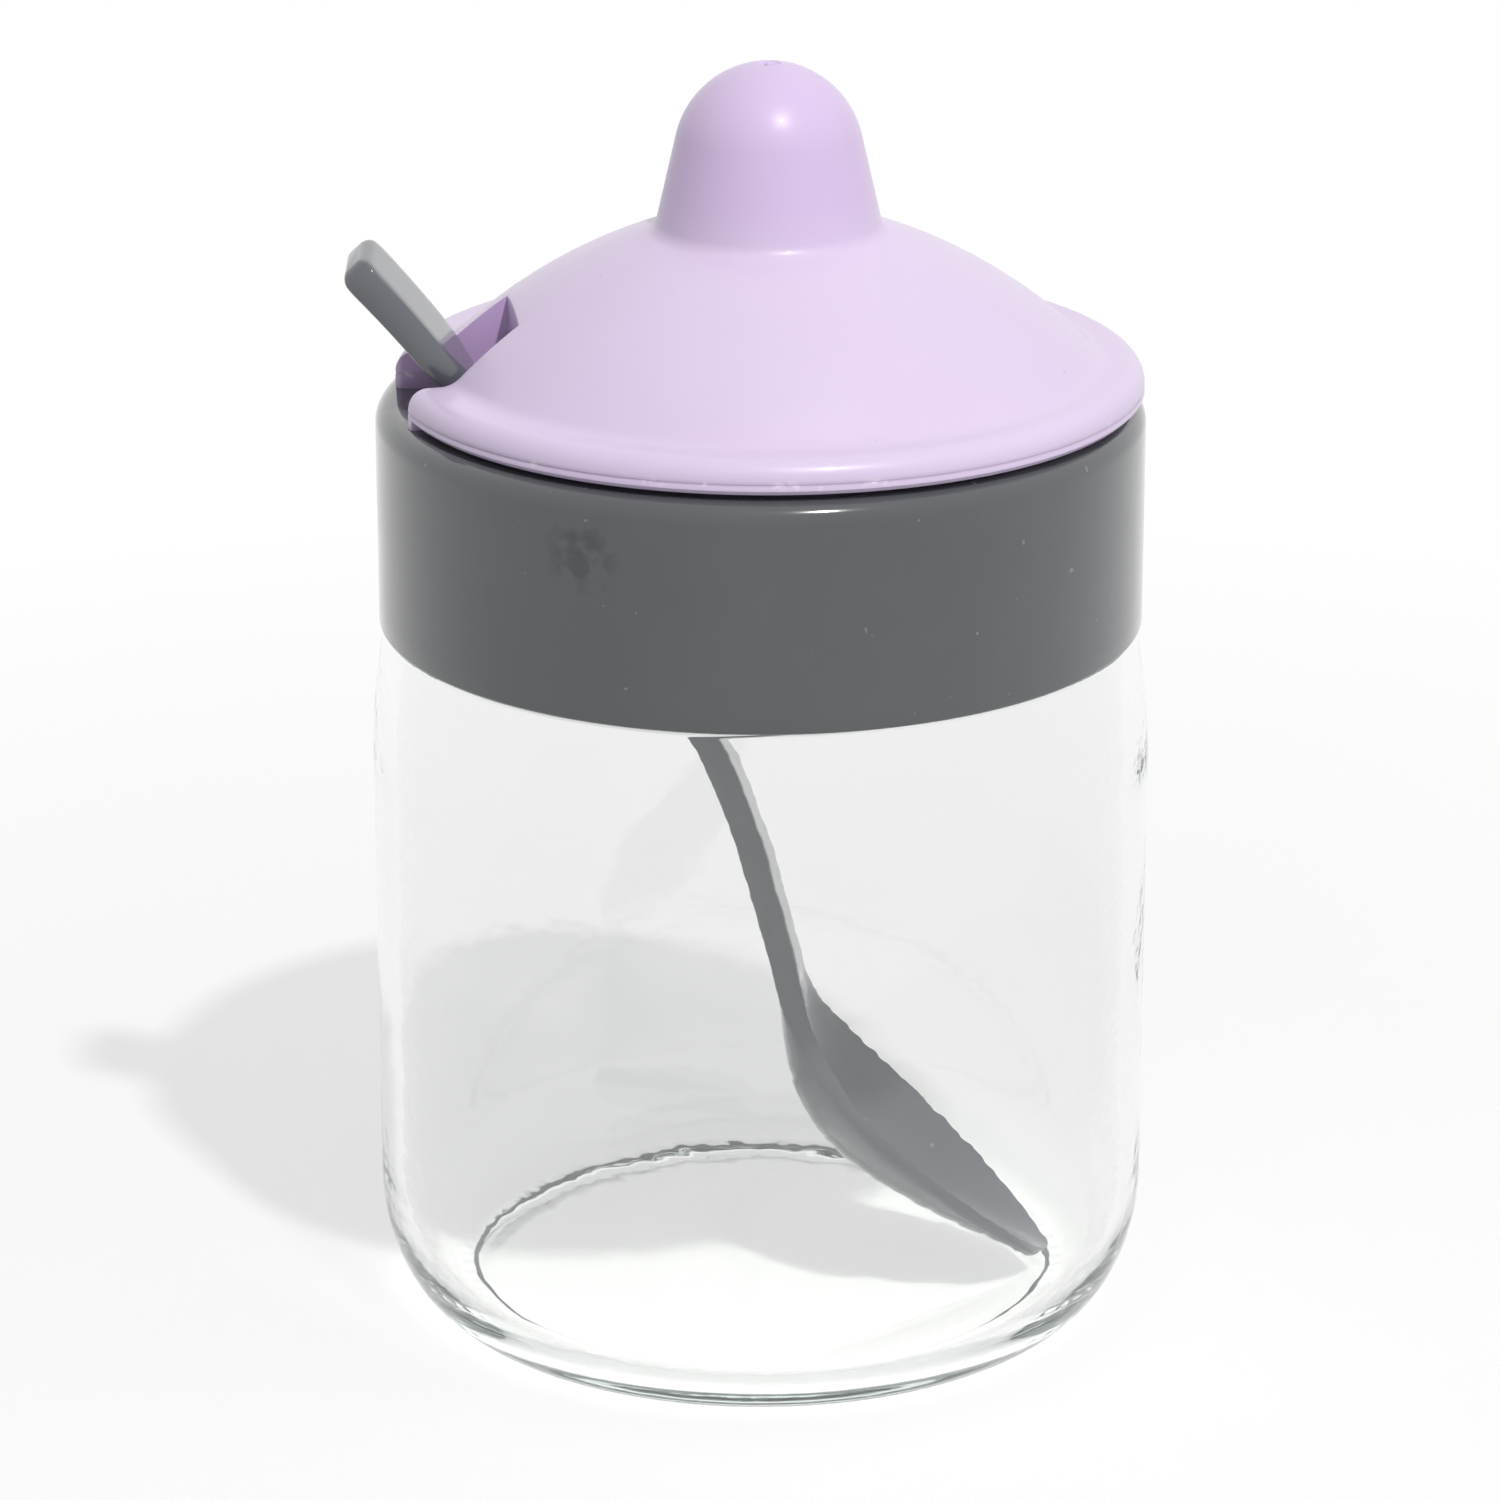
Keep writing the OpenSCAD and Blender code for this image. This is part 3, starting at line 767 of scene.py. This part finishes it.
# Painted shade: the knob, and the notch's walls, which face each other, are painted a deeper lilac that stands in for
# their shade
shade_low, shade_high = ((flange_z + up) * MM for up in (knob_shade_from, knob_shade_to))
knob_part = spread(tree, axes.outputs["Z"], shade_low, shade_high, 0.0, 1.0)
deeper = blended(tree, knob_part, plain, knob_shade_lilac)
end_x = notch_x + lid_x + wall_skin
side_y = notch_half + (notch_x + lid_x) * tan(notch_flare) + wall_skin
wide = maths(tree, "ABSOLUTE", axes.outputs["Y"])
flare = maths(tree, "MULTIPLY_ADD", axes.outputs["X"], tan(notch_flare), wide)
within_end = spread(tree, axes.outputs["X"], end_x * MM, (end_x + wall_fade) * MM, 1.0, 0.0)
within_sides = spread(tree, flare, side_y * MM, (side_y + wall_fade) * MM, 1.0, 0.0)
walled = blended(tree, maths(tree, "MULTIPLY", within_end, within_sides), deeper, notch_shade_lilac)
# A thin dark line of painted shade, standing in for a groove, runs along the seam and on through the notch's walls,
# with a few pale shreds of flash
apart = maths(tree, "ABSOLUTE", maths(tree, "SUBTRACT", axes.outputs["Z"], seam_z * MM))
seam_shaded = blended(tree, spread(tree, apart, 0.06 * MM, 0.2 * MM, 0.4, 0.0), walled, seam_shade_lilac)
beside_seam = spread(tree, apart, 0.2 * MM, 0.7 * MM, 1.0, 0.0)
torn = spread(tree, noise(tree, place, 330, 3, 0.7), 0.6, 0.68, 0.0, 0.7)
tree.links.new(
    blended(tree, maths(tree, "MULTIPLY", beside_seam, torn), seam_shaded, shred_lilac), shader.inputs["Base Color"]
)
lid.data.materials.append(material)
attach(lid, "lid")
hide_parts("lid")


# Studio: a pale floor that runs out into a white surround, soft light from all round and one small key lamp from the
# upper right of the camera, which stands in front, a little above.
floor_w = 6.0
floor_down = 0.0002
lit_r = 0.12
white_r = 0.3
lit_share = 0.42

bpy.ops.object.select_all(action="DESELECT")
bpy.ops.mesh.primitive_plane_add(size=floor_w, location=(0, 0, -floor_down))
floor = bpy.context.object
floor.name = "floor"
white, tree, output, place = nodes_of("pale_floor")
seen = tree.nodes.new("ShaderNodeEmission")
seen.inputs["Strength"].default_value = 1
lit = tree.nodes.new("ShaderNodeBsdfDiffuse")
grain = spread(tree, noise(tree, place.outputs["Object"], 30), 0, 1, 0.95, 0.98)
tree.links.new(grain, lit.inputs["Color"])
blend = tree.nodes.new("ShaderNodeMixShader")
# Near the object the floor shows its light and shade, and further out it runs into white
away = tree.nodes.new("ShaderNodeVectorMath")
away.operation = "LENGTH"
tree.links.new(place.outputs["Object"], away.inputs[0])
tree.links.new(spread(tree, away.outputs["Value"], lit_r, white_r, lit_share, 0.0), blend.inputs["Fac"])
tree.links.new(seen.outputs["Emission"], blend.inputs[1])
tree.links.new(lit.outputs["BSDF"], blend.inputs[2])
path = tree.nodes.new("ShaderNodeLightPath")


def any_of(tree, path, names):
    """The greatest of a light path's named outputs."""
    found = path.outputs[names[0]]
    for name in names[1:]:
        found = maths(tree, "MAXIMUM", found, path.outputs[name])
    return found


kinds = ("Is Camera Ray", "Is Glossy Ray", "Is Transmission Ray")
shown = tree.nodes.new("ShaderNodeMixShader")
tree.links.new(any_of(tree, path, kinds), shown.inputs["Fac"])
bounce = tree.nodes.new("ShaderNodeBsdfDiffuse")
bounce.inputs["Color"].default_value = (0.68, 0.69, 0.7, 1)
tree.links.new(bounce.outputs["BSDF"], shown.inputs[1])
tree.links.new(blend.outputs["Shader"], shown.inputs[2])
tree.links.new(shown.outputs["Shader"], output.inputs["Surface"])
floor.data.materials.append(white)

world = bpy.data.worlds.new("surround")
bpy.context.scene.world = world
world.use_nodes = True
tree = world.node_tree
tree.nodes.clear()
output = tree.nodes.new("ShaderNodeOutputWorld")
sky = tree.nodes.new("ShaderNodeBackground")
sky.inputs["Color"].default_value = (0.98, 0.99, 1, 1)
backdrop = tree.nodes.new("ShaderNodeBackground")
backdrop.inputs["Color"].default_value = (1, 1, 1, 1)
backdrop.inputs["Strength"].default_value = 1
# The sky is brighter overhead and to the right than low down on the left
toward = tree.nodes.new("ShaderNodeTexCoord")
slant = tree.nodes.new("ShaderNodeVectorMath")
slant.operation = "DOT_PRODUCT"
slant.inputs[1].default_value = (0.56, -0.06, 0.83)
tree.links.new(toward.outputs["Generated"], slant.inputs[0])
tree.links.new(spread(tree, slant.outputs["Value"], -0.5, 1.0, 0.16, 0.66), sky.inputs["Strength"])
shown = tree.nodes.new("ShaderNodeMixShader")
tree.links.new(any_of(tree, tree.nodes.new("ShaderNodeLightPath"), kinds), shown.inputs["Fac"])
tree.links.new(sky.outputs["Background"], shown.inputs[1])
tree.links.new(backdrop.outputs["Background"], shown.inputs[2])
tree.links.new(shown.outputs["Shader"], output.inputs["Surface"])

key_turn = radians(17)
key_rise = radians(56)
key_far = 1.2
key_lift = 0.1
bpy.ops.object.light_add(
    type="AREA",
    location=(
        key_far * sin(key_turn) * cos(key_rise),
        -key_far * cos(key_turn) * cos(key_rise),
        key_far * sin(key_rise) + key_lift,
    ),
    rotation=(pi / 2 - key_rise, 0, key_turn),
)
key = bpy.context.object
key.name = "key_lamp"
key.data.size = 0.05
key.data.energy = 8.8
key.data.color = (1, 0.985, 0.965)

camera_turn = radians(-8)
camera_dip = 0.3345
camera_far = 0.6422
camera_h = 0.2869
bpy.ops.object.camera_add(
    location=(camera_far * sin(camera_turn), -camera_far * cos(camera_turn), camera_h),
    rotation=(pi / 2 - camera_dip, 0, camera_turn),
)
camera = bpy.context.object
camera.data.sensor_width = 36
camera.data.lens = 146.7
camera.data.shift_x = -0.0071
camera.data.clip_start = 0.01
bpy.context.scene.camera = camera
bpy.context.scene.view_settings.view_transform = "Standard"
# Light runs far inside the thick heel before it leaves the glass
bounces = 40
bpy.context.scene.cycles.max_bounces = bounces
bpy.context.scene.cycles.transmission_bounces = bounces
bpy.context.scene.cycles.glossy_bounces = bounces
